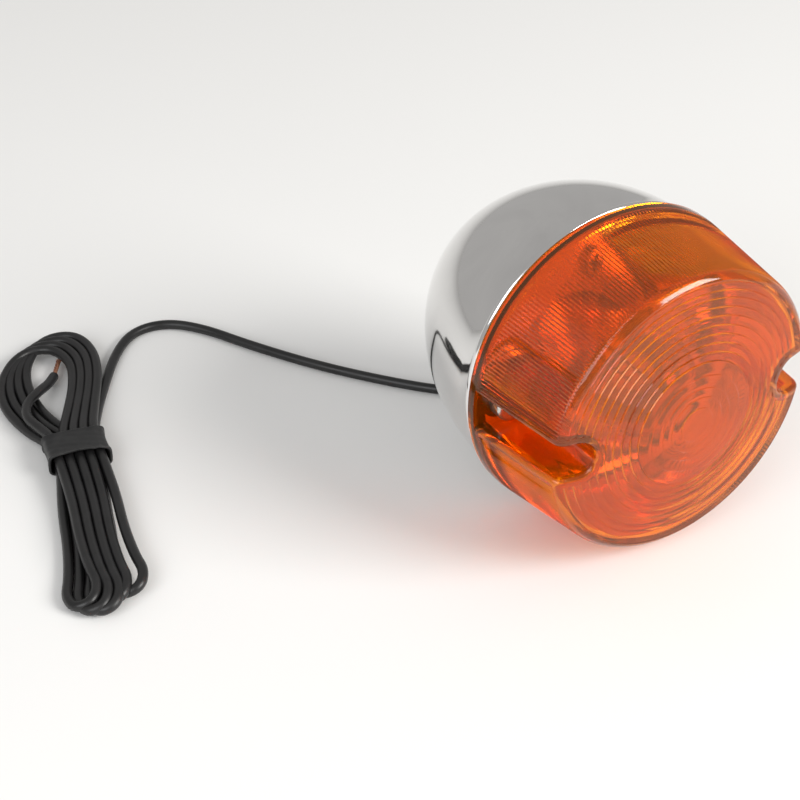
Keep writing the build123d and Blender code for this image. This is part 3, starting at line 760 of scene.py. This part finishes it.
class SIGNAL_OT_lead(bpy.types.Operator):
    """Lays the lead from the grommet to the tied hank, with its band and stripped end"""

    bl_idname = "signal.lead"
    bl_label = "Lead and hank"

    def execute(self, context):
        settings = context.scene.signal_lead
        for name in ("lead", "hank_band", "stripped_end"):
            fresh(name)
        covering = finish(
            "lead_covering", settings.colour, [c * 2.4 for c in settings.colour], 0.34, 0.50, smudge=130, grain=1400,
            bump=0.012,
        )
        curve = bpy.data.curves.new("lead", "CURVE")
        curve.dimensions = "3D"
        spline = curve.splines.new("NURBS")
        points = lead_points()
        spline.points.add(len(points) - 1)
        for slot, point in zip(spline.points, points):
            slot.co = (*point, 1)
        spline.order_u = 3
        spline.use_endpoint_u = True
        curve.resolution_u = 8
        curve.bevel_depth = settings.diameter / 2
        curve.bevel_resolution = 4
        curve.use_fill_caps = True
        lead = bpy.data.objects.new("lead", curve)
        context.scene.collection.objects.link(lead)
        curve.materials.append(covering)
        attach(lead, "housing")
        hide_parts("lead_wire", "wire_hank")

        band = hank_band()
        end = stripped_end()
        return {"FINISHED"}


def hank_band():
    """The band round the hank's waist: a stretched sleeve that follows the strands under it."""
    rounds, rows = 96, 14
    bm = bmesh.new()
    bmesh.ops.create_circle(bm, cap_ends=False, segments=rounds, radius=1)
    for vert in bm.verts:
        turn = math.atan2(vert.co.y, vert.co.x)
        power = 2 / 4.2
        c, s = math.cos(turn), math.sin(turn)
        x = math.copysign(abs(c) ** power, c) * (BAND_HALF_WIDTH - 0.12)
        z = math.copysign(abs(s) ** power, s) * (BAND_HALF_HEIGHT - 0.08)
        if z > 0:
            z += 0.16 * math.cos(2 * math.pi * x / LANE_PITCH) * max(0, 1 - abs(x) / BAND_HALF_WIDTH)
        vert.co = (x, -BAND_HALF_LENGTH, z + BAND_MIDDLE)
    first = bm.edges[:]
    for _ in range(rows):
        grown = bmesh.ops.extrude_edge_only(bm, edges=first)
        verts = [item for item in grown["geom"] if isinstance(item, bmesh.types.BMVert)]
        first = [item for item in grown["geom"] if isinstance(item, bmesh.types.BMEdge)
                 and all(vert in verts for vert in item.verts)]
        bmesh.ops.translate(bm, vec=(0, 2 * BAND_HALF_LENGTH / rows, 0), verts=verts)
    for vert in bm.verts:
        end = abs(vert.co.y) / BAND_HALF_LENGTH
        waist = 1 - 0.035 * (1 - end**2) + 0.03 * max(0, end - 0.85) / 0.15
        vert.co.x *= waist
        vert.co.z = BAND_MIDDLE + (vert.co.z - BAND_MIDDLE) * waist
        arch = 0.55 * math.cos(vert.co.x / BAND_HALF_WIDTH * math.pi / 2)
        vert.co.y -= arch * end * (1 if vert.co.y > 0 else -0.4)
        wrinkle = 0.05 * math.sin(vert.co.y * 3.1 + vert.co.x * 0.7) + 0.04 * math.sin(vert.co.x * 2.3 - vert.co.y)
        if vert.co.z > BAND_MIDDLE:
            vert.co.z += wrinkle
    bmesh.ops.recalc_face_normals(bm, faces=bm.faces)
    place = Matrix.Translation(WAIST * MM) @ Matrix.Rotation(math.radians(-14), 4, "Z") @ Matrix.Scale(MM, 4)
    band = object_of(bm, "hank_band", place)
    smooth(band, 50)
    wall = band.modifiers.new("wall", "SOLIDIFY")
    wall.thickness = BAND_WALL * MM
    wall.offset = -1
    edge = band.modifiers.new("edge", "BEVEL")
    edge.width = 0.2 * MM
    edge.segments = 2
    tape = finish("band_rubber", (0.009, 0.009, 0.0095), (0.022, 0.022, 0.022), 0.42, 0.62, smudge=160, grain=1500,
                  bump=0.03)
    dress(band, "housing", tape)
    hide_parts("tie_band")
    return band


def stripped_end():
    """The stripped end of the lead: a bundle of seven twisted copper strands, one in the middle."""
    copper = finish("bare_copper", (0.86, 0.42, 0.27), (0.55, 0.26, 0.16), 0.22, 0.42, metallic=1.0, smudge=500,
                    grain=5000, bump=0.01)
    curve = bpy.data.curves.new("stripped_end", "CURVE")
    curve.dimensions = "3D"
    start = Vector((*TAIL[-1][0], TAIL[-1][1]))
    across = Vector((TAIL_HEADING.y, -TAIL_HEADING.x, 0))
    lift = Vector((0, 0, 1))
    for strand in range(STRANDS):
        spline = curve.splines.new("POLY")
        spline.points.add(24)
        reach = 0.0 if strand == 0 else LAY_REACH
        length = BARE_LENGTH - 0.25 * (strand % 3)
        for number, point in enumerate(spline.points):
            share = number / 24
            turn = strand * math.pi / 3 + share * 2.2 * math.pi
            flare = reach * (1 + 0.25 * share**3)
            place = start + TAIL_HEADING * (length * share - 0.6)
            place += across * (flare * math.cos(turn)) + lift * (flare * math.sin(turn))
            point.co = (*(place * MM), 1)
    curve.bevel_depth = STRAND_RADIUS * MM
    curve.bevel_resolution = 2
    curve.use_fill_caps = True
    made = bpy.data.objects.new("stripped_end", curve)
    bpy.context.scene.collection.objects.link(made)
    curve.materials.append(copper)
    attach(made, "housing")
    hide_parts("bare_conductor")
    return made


class SIGNAL_OT_inner_lead(bpy.types.Operator):
    """Finishes the lead inside the housing"""

    bl_idname = "signal.inner_lead"
    bl_label = "Inner lead"

    def execute(self, context):
        colour = context.scene.signal_lead.colour
        covering = finish("inner_covering", colour, [c * 1.9 for c in colour], 0.32, 0.48, smudge=130, grain=1400,
                          bump=0.012)
        smoothed("inner_lead", "housing", covering)
        return {"FINISHED"}


# ---- camera and stage ----
class SIGNAL_OT_camera(bpy.types.Operator):
    """Places the camera in front of the lamp, to its left and above it"""

    bl_idname = "signal.camera"
    bl_label = "Camera"

    def execute(self, context):
        fresh("camera")
        data = bpy.data.cameras.new("camera")
        data.lens = context.scene.signal_stage.focal
        data.sensor_width = SENSOR_WIDTH
        data.clip_start = 0.01
        data.clip_end = 20
        camera = bpy.data.objects.new("camera", data)
        turn = Matrix((CAMERA_RIGHT, CAMERA_UP, -Vector(CAMERA_FORWARD))).transposed().to_4x4()
        camera.matrix_world = Matrix.Translation(CAMERA_PLACE) @ turn
        context.scene.collection.objects.link(camera)
        context.scene.camera = camera
        return {"FINISHED"}


def softbox(name, place, target, size, power, colour):
    """A large soft light that faces a point."""
    fresh(name)
    data = bpy.data.lights.new(name, "AREA")
    data.shape = "RECTANGLE"
    data.size, data.size_y = size
    data.energy = power
    data.color = colour
    light = bpy.data.objects.new(name, data)
    heading = Vector(target) - Vector(place)
    light.matrix_world = Matrix.Translation(place) @ heading.to_track_quat("-Z", "Y").to_matrix().to_4x4()
    bpy.context.scene.collection.objects.link(light)
    return light


class SIGNAL_OT_stage(bpy.types.Operator):
    """Lays the pale floor and sets the soft studio light"""

    bl_idname = "signal.stage"
    bl_label = "Stage"

    def execute(self, context):
        settings = context.scene.signal_stage
        fresh("floor")
        bm = bmesh.new()
        bmesh.ops.create_grid(bm, x_segments=1, y_segments=1, size=FLOOR_REACH)
        floor = object_of(bm, "floor")
        paper = finish("pale_paper", settings.floor, [c * 0.985 for c in settings.floor], 0.75, 0.85, smudge=3,
                       grain=300)
        floor.data.materials.append(paper)

        context.scene.view_settings.view_transform = "Standard"
        world = bpy.data.worlds.new("studio")
        context.scene.world = world
        world.use_nodes = True
        tree = world.node_tree
        back = tree.nodes["Background"]
        back.inputs["Color"].default_value = (*SKY_COLOUR, 1)
        back.inputs["Strength"].default_value = settings.sky
        softbox("key_light", KEY_PLACE, LIGHT_TARGET, KEY_SIZE, settings.key, (1.0, 0.985, 0.96))
        softbox("fill_light", FILL_PLACE, LIGHT_TARGET, FILL_SIZE, settings.fill, (0.97, 0.98, 1.0))
        return {"FINISHED"}


class SIGNAL_PT_panel(bpy.types.Panel):
    """The turn signal's settings and pieces"""

    bl_idname = "SIGNAL_PT_panel"
    bl_label = "Turn signal"
    bl_space_type = "VIEW_3D"
    bl_region_type = "UI"
    bl_category = "Turn signal"

    def draw(self, context):
        layout = self.layout
        scene = context.scene
        sections = (
            (scene.signal_lens, ("flutes", "flute_depth", "step_relief", "colour"), ("signal.lens",)),
            (scene.signal_housing, ("chrome", "bead"), ("signal.housing", "signal.fittings", "signal.bulb")),
            (scene.signal_lead, ("diameter", "colour"), ("signal.lead", "signal.inner_lead")),
            (scene.signal_stage, ("floor", "key", "fill", "sky", "focal"), ("signal.camera", "signal.stage")),
        )
        for settings, names, operators in sections:
            box = layout.box()
            for name in names:
                box.prop(settings, name)
            for name in operators:
                box.operator(name)


CLASSES = (
    LensSettings,
    HousingSettings,
    LeadSettings,
    StageSettings,
    SIGNAL_OT_camera,
    SIGNAL_OT_lead,
    SIGNAL_OT_inner_lead,
    SIGNAL_OT_housing,
    SIGNAL_OT_lens,
    SIGNAL_OT_fittings,
    SIGNAL_OT_bulb,
    SIGNAL_OT_stage,
    SIGNAL_PT_panel,
)


def register():
    """Registers the classes and gives the scene its settings."""
    for item in CLASSES:
        bpy.utils.register_class(item)
    bpy.types.Scene.signal_lens = PointerProperty(type=LensSettings)
    bpy.types.Scene.signal_housing = PointerProperty(type=HousingSettings)
    bpy.types.Scene.signal_lead = PointerProperty(type=LeadSettings)
    bpy.types.Scene.signal_stage = PointerProperty(type=StageSettings)


def unregister():
    """Takes the settings and the classes away again."""
    for name in ("signal_lens", "signal_housing", "signal_lead", "signal_stage"):
        delattr(bpy.types.Scene, name)
    for item in reversed(CLASSES):
        bpy.utils.unregister_class(item)


def main():
    """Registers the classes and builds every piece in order."""
    register()
    bpy.ops.signal.camera()
    bpy.ops.signal.lead()
    bpy.ops.signal.inner_lead()
    bpy.ops.signal.housing()
    bpy.ops.signal.lens()
    bpy.ops.signal.fittings()
    bpy.ops.signal.bulb()
    bpy.ops.signal.stage()


if __name__ == "__main__":
    main()
